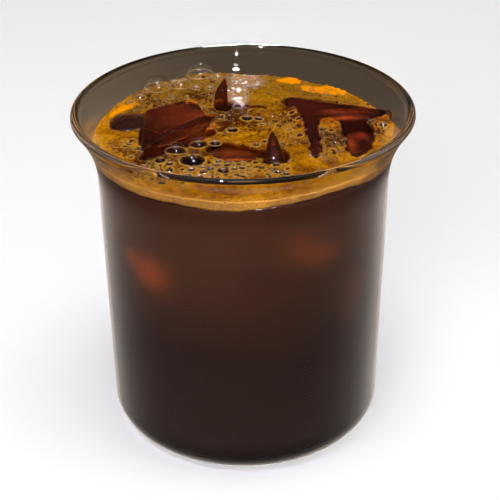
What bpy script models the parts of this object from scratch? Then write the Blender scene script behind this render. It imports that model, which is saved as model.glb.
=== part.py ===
"""Iced americano in a glass with a flared rim, at real size. Metres, +Z up.

The origin is the centre of the glass's flat underside. -Y is the front, the side that the low,
uneven edge of the foam is seen through, and +X is to the right of it. The glass is a turned
shell. The drink fills it, with foam afloat on it, and four pieces of ice stand partly out.
"""
import math

import bmesh
import bpy
from mathutils import Matrix, Vector

MM = 0.001

# Glass: straight, slightly tapered wall, rounded bottom corner, flared mouth with a bead lip.
HEIGHT = 94.7 * MM
RIM_RADIUS = 46.0 * MM
NECK_HEIGHT = 75.0 * MM
NECK_RADIUS = 39.5 * MM
FOOT_RADIUS = 37.6 * MM
CORNER_RADIUS = 9.0 * MM
WALL = 2.1 * MM
BASE = 4.0 * MM
LIP_RADIUS = 1.25 * MM
FLARE_POWER = 2.1
INNER_CORNER_RADIUS = 6.5 * MM
AROUND = 60

# Radii of the rings of points in the face between drink and foam, as shares of the inner radius.
RINGS = (0.0, 0.5, 0.9, 0.95)

# Contents
GAP = 0.3 * MM
DRINK_LEVEL = 84.9 * MM
FOAM_LEVEL = 86.4 * MM
SKIRT_LEVEL = 83.8 * MM
SKIRT_WIDTH = 4.0 * MM
ICE_EDGE = 2.2 * MM

# Unevenness of the foam: its lower edge, its gentle swell and the film that climbs the wall.
SKIRT_RIPPLE = 0.22 * MM
SWELL_RISE = 0.16 * MM
SWELL_ACROSS = 3.1 * MM
SWELL_BACK = 3.7 * MM
SWELL_SLANT = 9.0 * MM
CLIMB_RISE = 0.35 * MM
CLIMB_REACH = 1.5 * MM

# The foam's heap of large bubbles against the back wall, left of the middle.
HEAP_RISE = 3.6 * MM
HEAP_ANGLE = math.radians(-25.0)
HEAP_SPREAD = math.radians(25.0)
HEAP_REACH = 6.5 * MM

# Where a piece of ice lifts the foam up the front wall, right of the middle.
LIFT_RISE = 2.3 * MM
LIFT_TOP_RISE = 1.2 * MM
LIFT_REACH = 5.0 * MM
LIFT_ANGLE = math.radians(146.0)
LIFT_SPREAD = math.radians(19.0)

# The thin foam that lies on the sloping top of the right-hand ice, in mm from the ice's front left
# corner: how far back it runs, its width there and how it widens, its slope, and its thickness.
COVER_LENGTH = 24.0
COVER_WIDTH = 9.0
COVER_WIDENING = 0.45
COVER_SLOPE = 0.065
COVER_TWIST = 0.0052
COVER_THICKNESS = 1.5

# Corners of the blocks of ice in mm: front left, front right, back right, back left.
ICE_LEFT_TOP = ((-27.4, -12.6, 87.5), (-8.2, 5.6, 88.2), (-13.4, 21.6, 88.4), (-27.4, 15.0, 87.9))
ICE_LEFT_BOTTOM = ((-23.0, -9.0, 66.0), (-8.6, 3.6, 67.0), (-13.0, 18.0, 66.5), (-25.0, 12.0, 65.5))
ICE_RIGHT_TOP = ((17.6, -13.6, 85.9), (31.8, -12.2, 85.9), (42.2, 7.5, 90.3), (11.2, 23.8, 88.3))
ICE_RIGHT_BOTTOM = ((9.5, -13.0, 63.0), (19.0, -12.0, 63.5), (27.0, 3.0, 64.0), (4.5, 16.0, 63.5))

# Pointed ends of ice: tip, direction down from it, length, width and thickness in mm.
TIP_FRONT = ((8.2, -9.2, 91.6), (0.0, -0.62, -0.78), 24.0, 7.8, 8.6)
TIP_BACK = ((-5.8, 24.0, 92.8), (-0.06, -0.36, -0.93), 9.6, 4.2, 3.2)
TIP_AROUND = 16
TIP_STEPS = 8

# Outlines in mm of the places where the foam is open and the dark drink or wet ice shows, and how
# far their cutters reach above and below the foam's level.
OPEN_REACH = 8.0 * MM
OPEN_PLACES = {
    "open_front": ((-9.8, -8.4), (-7.2, -4.6), (-3.6, -4.2), (0.6, -7.0), (5.4, -8.6),
                   (4.6, -12.8), (-0.8, -16.6), (-5.6, -14.4)),
    "open_left": ((-36.2, 10.8), (-32.0, 16.0), (-27.2, 13.4), (-31.6, 5.6)),
    "open_back": ((17.0, 32.2), (27.6, 28.0), (28.0, 24.6), (20.6, 27.6)),
    "open_right": ((18.6, -14.8), (17.5, 1.5), (16.0, 16.0), (20.0, 17.6), (30.0, 13.0),
                   (37.5, 8.8), (35.0, 5.4), (33.4, 1.0), (34.8, -6.4), (31.0, -13.0),
                   (27.4, -11.5), (27.6, 4.5), (24.4, 11.0), (20.6, 9.8), (19.6, 4.4),
                   (20.6, -8.2)),
}

# Large bubbles in mm: x, y, radius. Each is a dome, sunk by a share of its radius, whose lower
# half is flattened to stay within the foam.
BUBBLE_SINK = 0.25
BUBBLE_KEEL = 0.06
BUBBLES = (
    (-11.9, 33.6, 3.7), (-22.4, 27.0, 3.4), (-17.3, 29.6, 2.4), (-28.6, 22.6, 2.0),
    (-18.2, -9.2, 2.3), (-12.0, -5.4, 2.4), (-13.6, -15.0, 3.4), (-21.4, -16.8, 1.9),
    (-9.2, -21.2, 1.9), (-4.0, -21.4, 1.8), (3.0, 9.6, 1.8), (-3.0, 1.9, 2.0),
    (-30.7, -4.6, 1.8), (22.6, 6.4, 1.7), (35.2, 1.2, 1.6), (-15.6, -21.6, 1.5),
)


def outer_radius(z):
    """Radius of the glass's outer face at height z, above the bottom corner."""
    if z <= NECK_HEIGHT:
        share = (z - CORNER_RADIUS) / (NECK_HEIGHT - CORNER_RADIUS)
        return FOOT_RADIUS + (NECK_RADIUS - FOOT_RADIUS) * share
    share = (z - NECK_HEIGHT) / (HEIGHT - LIP_RADIUS - NECK_HEIGHT)
    return NECK_RADIUS + (RIM_RADIUS - NECK_RADIUS) * share ** FLARE_POWER


def inner_radius(z):
    return outer_radius(z) - WALL


def arc(centre_r, centre_z, radius, start, end, steps):
    """Points on an arc in the profile's plane, angles in degrees from +X."""
    angles = [math.radians(start + (end - start) * i / steps) for i in range(steps + 1)]
    return [(centre_r + radius * math.cos(a), centre_z + radius * math.sin(a)) for a in angles]


def bell(value, spread):
    return math.exp(-((value / spread) ** 2))


def turned_from_back(x, y):
    """Angle round the glass, 0 at the back and positive to the right."""
    return math.atan2(x, y)


def lift(angle):
    """Share of the front right rise of the foam's skirt at an angle."""
    turn = (angle - LIFT_ANGLE + math.pi) % (2 * math.pi) - math.pi
    return bell(turn, LIFT_SPREAD)


def foam_underside(x, y):
    """Height of the foam's underside: flat, with a skirt that hangs down at the wall."""
    angle = turned_from_back(x, y)
    ripple = SKIRT_RIPPLE * (math.sin(7 * angle + 0.8) + math.sin(11 * angle))
    skirt = SKIRT_LEVEL + ripple + LIFT_RISE * lift(angle)
    from_wall = inner_radius(DRINK_LEVEL) - math.hypot(x, y)
    share = min(max(from_wall / SKIRT_WIDTH, 0.0), 1.0)
    share = share * share * (3 - 2 * share)
    return skirt + (DRINK_LEVEL + GAP - skirt) * share


def ice_cover(x, y):
    """Height of the thin foam that lies on the sloping top of the right-hand ice."""
    left, front, low = ICE_RIGHT_TOP[0]
    across = x / MM - left
    along = y / MM - front
    inside = 0 < along < COVER_LENGTH and -1 < across < COVER_WIDTH + COVER_WIDENING * along
    slope = COVER_SLOPE + COVER_TWIST * across
    return (low + slope * along + COVER_THICKNESS) * MM if inside else 0.0


def foam_top(x, y):
    """Height of the foam's top, with its heap at the back left and its rise at the wall."""
    angle = turned_from_back(x, y)
    from_wall = max(inner_radius(FOAM_LEVEL) - math.hypot(x, y), 0.0)
    heap = HEAP_RISE * bell(angle - HEAP_ANGLE, HEAP_SPREAD) * bell(from_wall, HEAP_REACH)
    lifted = LIFT_TOP_RISE * lift(angle) * bell(from_wall, LIFT_REACH)
    climb = CLIMB_RISE * bell(from_wall, CLIMB_REACH)
    swell = SWELL_RISE * (math.sin(x / SWELL_ACROSS) + math.sin(y / SWELL_BACK + x / SWELL_SLANT))
    return max(FOAM_LEVEL + heap + lifted + climb + swell, ice_cover(x, y))


def collection(name):
    group = bpy.data.collections.new(name)
    bpy.context.scene.collection.children.link(group)
    return group


def material(name, color, roughness, transmission=0.0, ior=1.45):
    made = bpy.data.materials.new(name)
    made.use_nodes = True
    shader = made.node_tree.nodes["Principled BSDF"]
    shader.inputs["Base Color"].default_value = (*color, 1.0)
    shader.inputs["Roughness"].default_value = roughness
    shader.inputs["Metallic"].default_value = 0.0
    shader.inputs["Transmission Weight"].default_value = transmission
    shader.inputs["IOR"].default_value = ior
    return made


def evaluated_mesh(obj):
    return bpy.data.meshes.new_from_object(obj.evaluated_get(bpy.context.evaluated_depsgraph_get()))


def applied(obj):
    """Give an object the mesh that its modifiers make, and drop the modifiers."""
    bpy.context.view_layer.update()
    mesh = evaluated_mesh(obj)
    obj.modifiers.clear()
    obj.data = mesh
    return obj


def turned(name, profile, group):
    """Turn a profile of radius and height round +Z."""
    mesh = bpy.data.meshes.new(name)
    edges = [(i, i + 1) for i in range(len(profile) - 1)]
    mesh.from_pydata([(r, 0.0, z) for r, z in profile], edges, [])
    obj = bpy.data.objects.new(name, mesh)
    group.objects.link(obj)
    screw = obj.modifiers.new("turn", "SCREW")
    screw.steps = AROUND
    screw.render_steps = AROUND
    screw.use_merge_vertices = True
    screw.merge_threshold = 0.00001
    return obj


def smooth(obj, angle):
    obj.data.shade_smooth()
    obj.data.set_sharp_from_angle(angle=math.radians(angle))


def make_glass(group):
    floor_edge = inner_radius(BASE + INNER_CORNER_RADIUS) - INNER_CORNER_RADIUS
    lip_height = HEIGHT - LIP_RADIUS
    flare = [NECK_HEIGHT + (lip_height - NECK_HEIGHT) * share for share in (0.0, 0.3, 0.55, 0.78, 1.0)]
    profile = [(0.0, BASE)]
    profile += arc(floor_edge, BASE + INNER_CORNER_RADIUS, INNER_CORNER_RADIUS, -90, 0, 3)
    profile += [(inner_radius(z), z) for z in flare[:-1]]
    profile += arc(RIM_RADIUS - LIP_RADIUS, lip_height, LIP_RADIUS, 210, 0, 7)
    profile += [(outer_radius(z), z) for z in reversed(flare[:-1])]
    profile += arc(FOOT_RADIUS - CORNER_RADIUS, CORNER_RADIUS, CORNER_RADIUS, 0, -90, 5)
    profile.append((0.0, 0.0))
    glass = applied(turned("glass", profile, group))
    smooth(glass, 40)
    glass.data.materials.append(material("clear_glass", (0.86, 0.85, 0.82), 0.02, 1.0, 1.47))
    return glass


def make_drink(group):
    """The drink, from the glass's floor up to its level, under the foam's skirt at the wall."""
    corner = INNER_CORNER_RADIUS - GAP
    floor_edge = inner_radius(BASE + INNER_CORNER_RADIUS) - INNER_CORNER_RADIUS
    side = [NECK_HEIGHT, NECK_HEIGHT + 5 * MM]
    top = inner_radius(DRINK_LEVEL)
    profile = [(top * share, DRINK_LEVEL) for share in RINGS + (1.0,)]
    profile += [(inner_radius(z) - GAP, z) for z in reversed(side)]
    profile += arc(floor_edge, BASE + GAP + corner, corner, 0, -90, 3)
    profile.append((0.0, BASE + GAP))
    drink = applied(turned("coffee", profile, group))
    for vertex in drink.data.vertices:
        x, y, z = vertex.co
        if z > DRINK_LEVEL - 0.01 * MM:
            vertex.co.z = foam_underside(x, y) - GAP
            if math.hypot(x, y) > 0.99 * top:
                vertex.co.xy *= (inner_radius(vertex.co.z) - GAP) / math.hypot(x, y)
    drink.data.materials.append(material("coffee", (0.035, 0.012, 0.007), 0.08))
    return drink


def make_foam(group):
    """The foam as a turned layer, shaped by the heights of its two faces, with bubbles joined."""
    outer = inner_radius(FOAM_LEVEL)
    under = [(inner_radius(DRINK_LEVEL) * share, -1.0) for share in RINGS] + [(outer, -1.0)]
    over = [(outer * share, 1.0) for share in (1.0, 0.95, 0.88, 0.79, 0.68, 0.54, 0.38, 0.2, 0.0)]
    profile = list(reversed(under + [(outer, 0.0)] + over))
    foam = applied(turned("crema", profile, group))
    for vertex in foam.data.vertices:
        x, y, side = vertex.co
        radius = math.hypot(x, y)
        share = (side + 1.0) / 2.0
        low = foam_underside(x, y)
        vertex.co.z = low + (foam_top(x, y) - low) * share
        if radius > 0.99 * outer:
            vertex.co.xy *= (inner_radius(vertex.co.z) - GAP) / radius
    foam.data.materials.append(material("crema", (0.50, 0.27, 0.06), 0.45))
    join_bubbles(foam)
    return foam


def join_bubbles(foam):
    domes = collection("bubbles")
    for number, (x, y, radius) in enumerate(BUBBLES):
        bm = bmesh.new()
        bmesh.ops.create_uvsphere(bm, u_segments=10, v_segments=6, radius=radius * MM)
        for vertex in bm.verts:
            vertex.co.z *= 1.0 if vertex.co.z > 0 else BUBBLE_KEEL
        mesh = bpy.data.meshes.new(f"bubble_{number}")
        bm.to_mesh(mesh)
        bm.free()
        dome = bpy.data.objects.new(mesh.name, mesh)
        dome.location = (x * MM, y * MM, foam_top(x * MM, y * MM) - BUBBLE_SINK * radius * MM)
        domes.objects.link(dome)
    union = foam.modifiers.new("bubbles", "BOOLEAN")
    union.operation = "UNION"
    union.operand_type = "COLLECTION"
    union.collection = domes
    union.solver = "EXACT"
    applied(foam)
    for dome in list(domes.objects):
        bpy.data.objects.remove(dome)
    bpy.data.collections.remove(domes)


def ice_block(name, top, bottom, group):
    """A block of ice: a cube drawn out to eight corners, with melted, rounded edges.

    Its faces are a little twisted, so they are split into triangles here, once, and the copy
    that cuts the block's place in the drink is split alike.
    """
    bm = bmesh.new()
    bmesh.ops.create_cube(bm, size=2.0)
    order = {(-1, -1): 0, (1, -1): 1, (1, 1): 2, (-1, 1): 3}
    for vertex in bm.verts:
        corner = order[round(vertex.co.x), round(vertex.co.y)]
        vertex.co = Vector(top[corner] if vertex.co.z > 0 else bottom[corner]) * MM
    mesh = bpy.data.meshes.new(name)
    bm.to_mesh(mesh)
    bm.free()
    obj = bpy.data.objects.new(name, mesh)
    group.objects.link(obj)
    rounding = obj.modifiers.new("melted edges", "BEVEL")
    rounding.width = ICE_EDGE
    rounding.segments = 3
    rounding.limit_method = "NONE"
    applied(obj)
    bm = bmesh.new()
    bm.from_mesh(obj.data)
    bmesh.ops.triangulate(bm, faces=bm.faces)
    bm.to_mesh(obj.data)
    bm.free()
    return obj


def ice_tip(name, tip, direction, length, width, thickness, group):
    """The pointed end of a crescent of ice: a turned spindle, flattened and tilted."""
    profile = []
    for i in range(TIP_STEPS + 1):
        share = i / TIP_STEPS
        profile.append((2 * share * (1 - share) * length * MM, (0.5 - share) * length * MM))
    obj = turned(name, profile, group)
    obj.modifiers["turn"].steps = TIP_AROUND
    obj.modifiers["turn"].render_steps = TIP_AROUND
    applied(obj)
    obj.data.transform(Matrix.Diagonal((width / length, thickness / length, 1.0, 1.0)))
    down = Vector(direction).normalized()
    obj.data.transform(down.to_track_quat("-Z", "Y").to_matrix().to_4x4())
    obj.location = (Vector(tip) + down * (length / 2)) * MM
    return obj


def make_ice(group):
    pieces = [
        ice_block("ice_left", ICE_LEFT_TOP, ICE_LEFT_BOTTOM, group),
        ice_block("ice_right", ICE_RIGHT_TOP, ICE_RIGHT_BOTTOM, group),
        ice_tip("ice_tip_front", *TIP_FRONT, group),
        ice_tip("ice_tip_back", *TIP_BACK, group),
    ]
    for piece in pieces:
        smooth(piece, 50)
        piece.data.materials.append(material(piece.name, (0.75, 0.73, 0.70), 0.05, 1.0, 1.31))
    return pieces


def as_cutter(obj, name, group):
    """A copy of a piece of ice grown by the gap, to cut its place in the drink and the foam."""
    bm = bmesh.new()
    bm.from_mesh(obj.data)
    bm.normal_update()
    moves = [vertex.normal * vertex.calc_shell_factor() * GAP for vertex in bm.verts]
    for vertex, move in zip(bm.verts, moves):
        vertex.co += move
    mesh = bpy.data.meshes.new(name)
    bm.to_mesh(mesh)
    bm.free()
    cutter = bpy.data.objects.new(name, mesh)
    cutter.matrix_world = obj.matrix_world
    group.objects.link(cutter)
    return cutter


def open_cutter(name, outline, group):
    """An upright cutter with a smooth outline, through the whole foam."""
    curve = bpy.data.curves.new(name, "CURVE")
    curve.dimensions = "2D"
    curve.fill_mode = "BOTH"
    curve.extrude = OPEN_REACH
    curve.resolution_u = 3
    spline = curve.splines.new("BEZIER")
    spline.bezier_points.add(len(outline) - 1)
    spline.use_cyclic_u = True
    for point, (x, y) in zip(spline.bezier_points, outline):
        point.co = (x * MM, y * MM, 0.0)
        point.handle_left_type = "AUTO"
        point.handle_right_type = "AUTO"
    shape = bpy.data.objects.new(name + "_outline", curve)
    shape.location.z = FOAM_LEVEL
    group.objects.link(shape)
    bpy.context.view_layer.update()
    mesh = evaluated_mesh(shape)
    bm = bmesh.new()
    bm.from_mesh(mesh)
    bmesh.ops.remove_doubles(bm, verts=bm.verts, dist=0.01 * MM)
    bmesh.ops.recalc_face_normals(bm, faces=bm.faces)
    bm.to_mesh(mesh)
    bm.free()
    cutter = bpy.data.objects.new(name, mesh)
    cutter.matrix_world = shape.matrix_world
    group.objects.link(cutter)
    bpy.data.objects.remove(shape)
    return cutter


def cut(obj, cutters, solver="EXACT"):
    """Cut some shapes out of an object; the thin foam takes MANIFOLD, as EXACT empties it."""
    for cutter in cutters:
        boolean = obj.modifiers.new(cutter.name, "BOOLEAN")
        boolean.operation = "DIFFERENCE"
        boolean.solver = solver
        boolean.object = cutter
    applied(obj)


def drop_scraps(obj):
    """Keep the largest body of a mesh that cutting has left in several."""
    bm = bmesh.new()
    bm.from_mesh(obj.data)
    left = set(bm.verts)
    bodies = []
    while left:
        stack = [left.pop()]
        body = set(stack)
        while stack:
            vertex = stack.pop()
            near = {edge.other_vert(vertex) for edge in vertex.link_edges} & left
            left -= near
            body |= near
            stack.extend(near)
        bodies.append(body)
    bodies.sort(key=len)
    scraps = [vertex for body in bodies[:-1] for vertex in body]
    bmesh.ops.delete(bm, geom=scraps, context="VERTS")
    bm.to_mesh(obj.data)
    bm.free()


def main():
    for obj in list(bpy.data.objects):
        bpy.data.objects.remove(obj)
    parts = collection("iced_americano")
    cutters = collection("cutters")
    make_glass(parts)
    drink = make_drink(parts)
    foam = make_foam(parts)
    ice = make_ice(parts)
    bpy.context.view_layer.update()
    ice_cutters = [as_cutter(piece, piece.name + "_cut", cutters) for piece in ice]
    open_cutters = [open_cutter(name, outline, cutters) for name, outline in OPEN_PLACES.items()]
    cut(drink, ice_cutters)
    cut(foam, open_cutters + ice_cutters, "MANIFOLD")
    drop_scraps(foam)
    smooth(drink, 30)
    smooth(foam, 30)
    for cutter in ice_cutters + open_cutters:
        cutter.hide_render = True
        cutter.display_type = "WIRE"


main()
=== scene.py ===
"""Looks of the iced americano in its flared-rim glass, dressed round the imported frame."""
import math

import bpy
import numpy as np
from mathutils import Matrix, Vector


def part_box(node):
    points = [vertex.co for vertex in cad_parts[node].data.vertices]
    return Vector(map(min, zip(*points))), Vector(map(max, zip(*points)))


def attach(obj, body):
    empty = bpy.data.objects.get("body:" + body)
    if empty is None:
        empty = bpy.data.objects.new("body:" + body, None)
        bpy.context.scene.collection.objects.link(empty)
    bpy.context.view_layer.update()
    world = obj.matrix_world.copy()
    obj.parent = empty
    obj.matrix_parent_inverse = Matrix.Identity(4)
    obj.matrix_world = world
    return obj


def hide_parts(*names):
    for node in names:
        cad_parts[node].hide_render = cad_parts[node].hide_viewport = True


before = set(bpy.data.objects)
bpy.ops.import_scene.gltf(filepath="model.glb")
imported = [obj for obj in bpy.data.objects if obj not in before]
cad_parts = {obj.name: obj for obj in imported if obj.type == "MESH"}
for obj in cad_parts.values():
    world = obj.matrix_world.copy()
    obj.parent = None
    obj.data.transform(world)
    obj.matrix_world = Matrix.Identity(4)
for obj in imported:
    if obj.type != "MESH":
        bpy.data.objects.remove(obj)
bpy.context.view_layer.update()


# Camera: it looks down on the front of the glass from half a metre away, along +Y, and its frame
# is turned by half a degree.
AIM = Vector((0.00156, 0.0, 0.05097))
ELEVATION = math.radians(28.39)
DISTANCE = 0.46028
LENS = 118.68
FRAME_TURN = math.radians(-0.52)

camera = bpy.data.objects.new("camera", bpy.data.cameras.new("camera"))
bpy.context.scene.collection.objects.link(camera)
camera.data.sensor_width = 36.0
camera.data.lens = LENS
camera.location = AIM + DISTANCE * Vector((0.0, -math.cos(ELEVATION), math.sin(ELEVATION)))
look = (AIM - camera.location).to_track_quat("-Z", "Y").to_matrix()
camera.rotation_euler = (look @ Matrix.Rotation(FRAME_TURN, 3, "Z")).to_euler()
bpy.context.scene.camera = camera


# Glass: a thin blown tumbler of clear borosilicate, slightly tapered, with a rounded bottom corner,
# a mouth that flares and a fire-polished bead for a lip. It is drawn as a profile and spun.
MM = 0.001
RIM_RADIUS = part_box("glass")[1][0]
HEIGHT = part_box("glass")[1][2]
NECK_HEIGHT = 75.0 * MM
NECK_RADIUS = 39.5 * MM
FOOT_RADIUS = 37.6 * MM
CORNER_RADIUS = 9.0 * MM
WALL = 2.1 * MM
BASE = 4.0 * MM
LIP_RADIUS = 1.25 * MM
FLARE_POWER = 2.1
INNER_CORNER_RADIUS = 6.5 * MM
ABOVE_CORNER = 12.0 * MM
ROUND_STEPS = 256
WELD = 0.01 * MM
# The haze of chill fades where the flare begins, between two heights, to a small share.
HAZE_HEIGHTS = (74.0 * MM, 82.0 * MM)
HAZE_LEFT = 0.12


def outer_radius(z):
    """Radius of the glass's outer face at height z, above the bottom corner."""
    taper = (NECK_RADIUS - FOOT_RADIUS) * (z - CORNER_RADIUS)
    straight = FOOT_RADIUS + taper / (NECK_HEIGHT - CORNER_RADIUS)
    share = np.clip((z - NECK_HEIGHT) / (HEIGHT - LIP_RADIUS - NECK_HEIGHT), 0.0, 1.1)
    flared = NECK_RADIUS + (RIM_RADIUS - NECK_RADIUS) * share ** FLARE_POWER
    return np.where(z <= NECK_HEIGHT, straight, flared)


def inner_radius(z):
    """Radius of its inner face, one wall further in."""
    return outer_radius(z) - WALL


def arc(centre_r, centre_z, radius, start, end, steps):
    """Points on an arc in the profile's plane, angles in degrees from +X."""
    angles = np.radians(np.linspace(start, end, steps + 1))
    return [(centre_r + radius * math.cos(a), centre_z + radius * math.sin(a)) for a in angles]


def lathe(name, profile, steps):
    """A turned piece: one point is drawn along the profile in edit mode, then spun round +Z."""
    bpy.ops.object.select_all(action="DESELECT")
    bpy.ops.mesh.primitive_plane_add(size=MM, location=(profile[0][0], 0.0, profile[0][1]))
    piece = bpy.context.object
    piece.name = name
    bpy.ops.object.transform_apply(location=True)
    bpy.ops.object.mode_set(mode="EDIT")
    bpy.ops.mesh.merge(type="CENTER")
    for (r0, z0), (r1, z1) in zip(profile, profile[1:]):
        bpy.ops.mesh.extrude_vertices_move(
            TRANSFORM_OT_translate={"value": (r1 - r0, 0.0, z1 - z0)})
    bpy.ops.mesh.select_all(action="SELECT")
    bpy.ops.mesh.spin(steps=steps, angle=2 * math.pi, center=(0, 0, 0), axis=(0, 0, 1))
    bpy.ops.mesh.select_all(action="SELECT")
    bpy.ops.mesh.remove_doubles(threshold=WELD)
    bpy.ops.mesh.normals_make_consistent(inside=False)
    bpy.ops.object.mode_set(mode="OBJECT")
    piece.data.shade_smooth()
    return piece


def linear(code):
    """An sRGB hex colour as the linear RGBA that a socket takes."""
    parts = [int(code[i:i + 2], 16) / 255 for i in (0, 2, 4)]
    return [c / 12.92 if c <= 0.04045 else ((c + 0.055) / 1.055) ** 2.4 for c in parts] + [1.0]


def add_node(tree, kind, settings=(), **inputs):
    """Add a node with its settings, and its inputs as values or as sockets to link from."""
    node = tree.nodes.new("ShaderNode" + kind)
    for name, value in dict(settings).items():
        setattr(node, name, value)
    for name, value in inputs.items():
        numbered = name[0] == "i" and name[1:].isdigit()
        socket = node.inputs[int(name[1:]) if numbered else name.replace("_", " ")]
        if isinstance(value, bpy.types.NodeSocket):
            tree.links.new(value, socket)
        else:
            socket.default_value = value
    return node


def new_material(name):
    """A material with its tree and its Principled shader."""
    material = bpy.data.materials.new(name)
    material.use_nodes = True
    return material, material.node_tree, material.node_tree.nodes["Principled BSDF"]


def finish(piece, material, slot, *nodes):
    """Give a piece its material and body, and hide the CAD nodes it stands for; the slot is not
    used.
    """
    piece.data.materials.clear()
    piece.data.materials.append(material)
    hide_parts(*nodes)
    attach(piece, "root")


lip_height = HEIGHT - LIP_RADIUS
corner_height = BASE + INNER_CORNER_RADIUS
floor_edge = float(inner_radius(corner_height)) - INNER_CORNER_RADIUS
inner_heights = np.linspace(BASE + ABOVE_CORNER, NECK_HEIGHT, 6)[:-1]
outer_heights = np.linspace(NECK_HEIGHT, ABOVE_CORNER, 6)[1:]
flare_heights = np.linspace(NECK_HEIGHT, lip_height, 16)[:-1]
profile = [(0.0, BASE)]
profile += arc(floor_edge, corner_height, INNER_CORNER_RADIUS, -90, 0, 10)
profile += [(float(inner_radius(z)), z) for z in inner_heights]
profile += [(float(inner_radius(z)), z) for z in flare_heights]
profile += arc(RIM_RADIUS - LIP_RADIUS, lip_height, LIP_RADIUS, 200, 0, 14)
profile += [(float(outer_radius(z)), z) for z in flare_heights[::-1]]
profile += [(float(outer_radius(z)), z) for z in outer_heights]
profile += arc(FOOT_RADIUS - CORNER_RADIUS, CORNER_RADIUS, CORNER_RADIUS, 0, -90, 12)
profile.append((0.0, 0.0))
glass = lathe("glass_tumbler", profile, ROUND_STEPS)

# Borosilicate glass, blown and fire-polished: clear, with sharp glints and a smooth lip. The chill
# of the drink fogs it faintly up to the flare, which greys the wall and leaves the lip clear.
borosilicate, tree, shader = new_material("blown_borosilicate")
shader.inputs["Base Color"].default_value = linear("f4f1ec")
shader.inputs["Roughness"].default_value = 0.0
shader.inputs["IOR"].default_value = 1.47
shader.inputs["Transmission Weight"].default_value = 1.0
place = add_node(tree, "TexCoord").outputs["Object"]
height = add_node(tree, "SeparateXYZ", i0=place).outputs["Z"]
haze = add_node(tree, "MapRange", i0=height, From_Min=HAZE_HEIGHTS[0], From_Max=HAZE_HEIGHTS[1],
                To_Min=1.0, To_Max=HAZE_LEFT)
tree.links.new(haze.outputs[0], shader.inputs["Sheen Weight"])
shader.inputs["Sheen Roughness"].default_value = 0.32
shader.inputs["Sheen Tint"].default_value = linear("f0e4da")
finish(glass, borosilicate, "glass", "glass")
glass.visible_shadow = False


# Coffee: chilled black coffee that fills the glass up to under the foam. It reaches just into the
# wall, so that no air shows between them. Amber glows, where ice carries light down into it, are
# painted light in its colour.
DRINK_LEVEL = 84.9 * MM
INTO_WALL = 0.15 * MM
UNDER_FOAM = 83.0 * MM
ABOVE_FLOOR = 14.0 * MM
SURFACE_RINGS = 70
AT_WALL = 0.05 * MM
# The foam's skirt is its lower edge at the wall. It is wavy, and lifts at the front right.
SKIRT_LEVEL = 83.8 * MM
SKIRT_WIDTH = 4.0 * MM
SKIRT_WAVE = 0.22 * MM
SKIRT_FINE_WAVE = 0.12 * MM
LIFT_RISE = 2.3 * MM
LIFT_ANGLE = math.radians(146.0)
LIFT_SPREAD = math.radians(19.0)
# Sizes of the clouds in the drink and of the streaks in its painted glows, and the height where
# the painted light at the top is full.
CLOUD_SIZE = 28.0 * MM
STREAK_SIZE = 3.5 * MM
LIT_TOP_HEIGHT = 85.0 * MM
# Settings that several nodes share.
COLOR_MIX = {"data_type": "RGBA"}
MULTIPLY_ADD = {"operation": "MULTIPLY_ADD"}

# Painted glows of light seen from above: centre and half sizes in mm, and strength.
PAINTED_TOP_GLOWS = (
    (-17.5, 9.0, 6.5, 6.0, 0.14), (-12.5, 12.5, 3.0, 2.5, 0.16), (-20.0, 17.0, 6.0, 4.0, 0.09),
    (27.0, 9.5, 4.0, 1.0, 0.55), (24.0, 13.5, 3.5, 1.2, 0.16), (30.5, 13.0, 4.5, 1.2, 0.08),
    (29.0, -6.0, 1.1, 3.4, 0.42), (31.5, -1.0, 1.8, 1.4, 0.30), (20.5, -7.0, 0.9, 4.0, 0.22),
    (-2.5, -13.0, 5.0, 0.8, 0.60), (-9.0, 0.5, 3.0, 1.2, 0.40), (-3.0, -9.0, 6.0, 3.0, 0.26),
)
# Painted glows of light seen through the wall: place, half width and half height in mm, and
# strength.
PAINTED_SIDE_GLOWS = (
    (-25.6, -29.9, 60.0, 5.5, 4.5, 0.66), (-30.5, -24.9, 62.5, 3.0, 2.5, 0.50),
    (20.8, -33.3, 67.0, 6.0, 3.0, 0.24), (15.0, -36.5, 71.0, 5.0, 4.0, 0.18),
    (30.0, -26.0, 50.0, 5.0, 9.0, 0.15),
)


def bell(value, spread):
    """1 at zero, falling off smoothly over the spread to either side."""
    return np.exp(-((value / spread) ** 2))


def smoothstep(low, high, value):
    """0 below the low value, 1 above the high one, and smooth between them."""
    share = np.clip((value - low) / (high - low), 0.0, 1.0)
    return share * share * (3 - 2 * share)


def lift(angle):
    """Share of the front right rise of the foam's skirt at an angle from the back."""
    turn = (angle - LIFT_ANGLE + math.pi) % (2 * math.pi) - math.pi
    return bell(turn, LIFT_SPREAD)


def skirt_line(angle):
    """Height of the foam's lower edge at the wall."""
    ripple = SKIRT_WAVE * (np.sin(7 * angle + 0.8) + np.sin(11 * angle))
    ripple = ripple + SKIRT_FINE_WAVE * np.sin(37 * angle)
    return SKIRT_LEVEL + ripple + LIFT_RISE * lift(angle)


def points_of(piece):
    """The piece's points as an array of x, y, z."""
    flat = np.empty(len(piece.data.vertices) * 3)
    piece.data.vertices.foreach_get("co", flat)
    return flat.reshape(-1, 3)


def move_points(piece, points):
    """Put the piece's points at new places."""
    piece.data.vertices.foreach_set("co", points.ravel())
    piece.data.update()


def paint(piece, name, values):
    """Store one number for each point of a piece, for its material to read."""
    store = piece.data.attributes.new(name, "FLOAT", "POINT")
    store.data.foreach_set("value", values.astype(np.float32))


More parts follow.
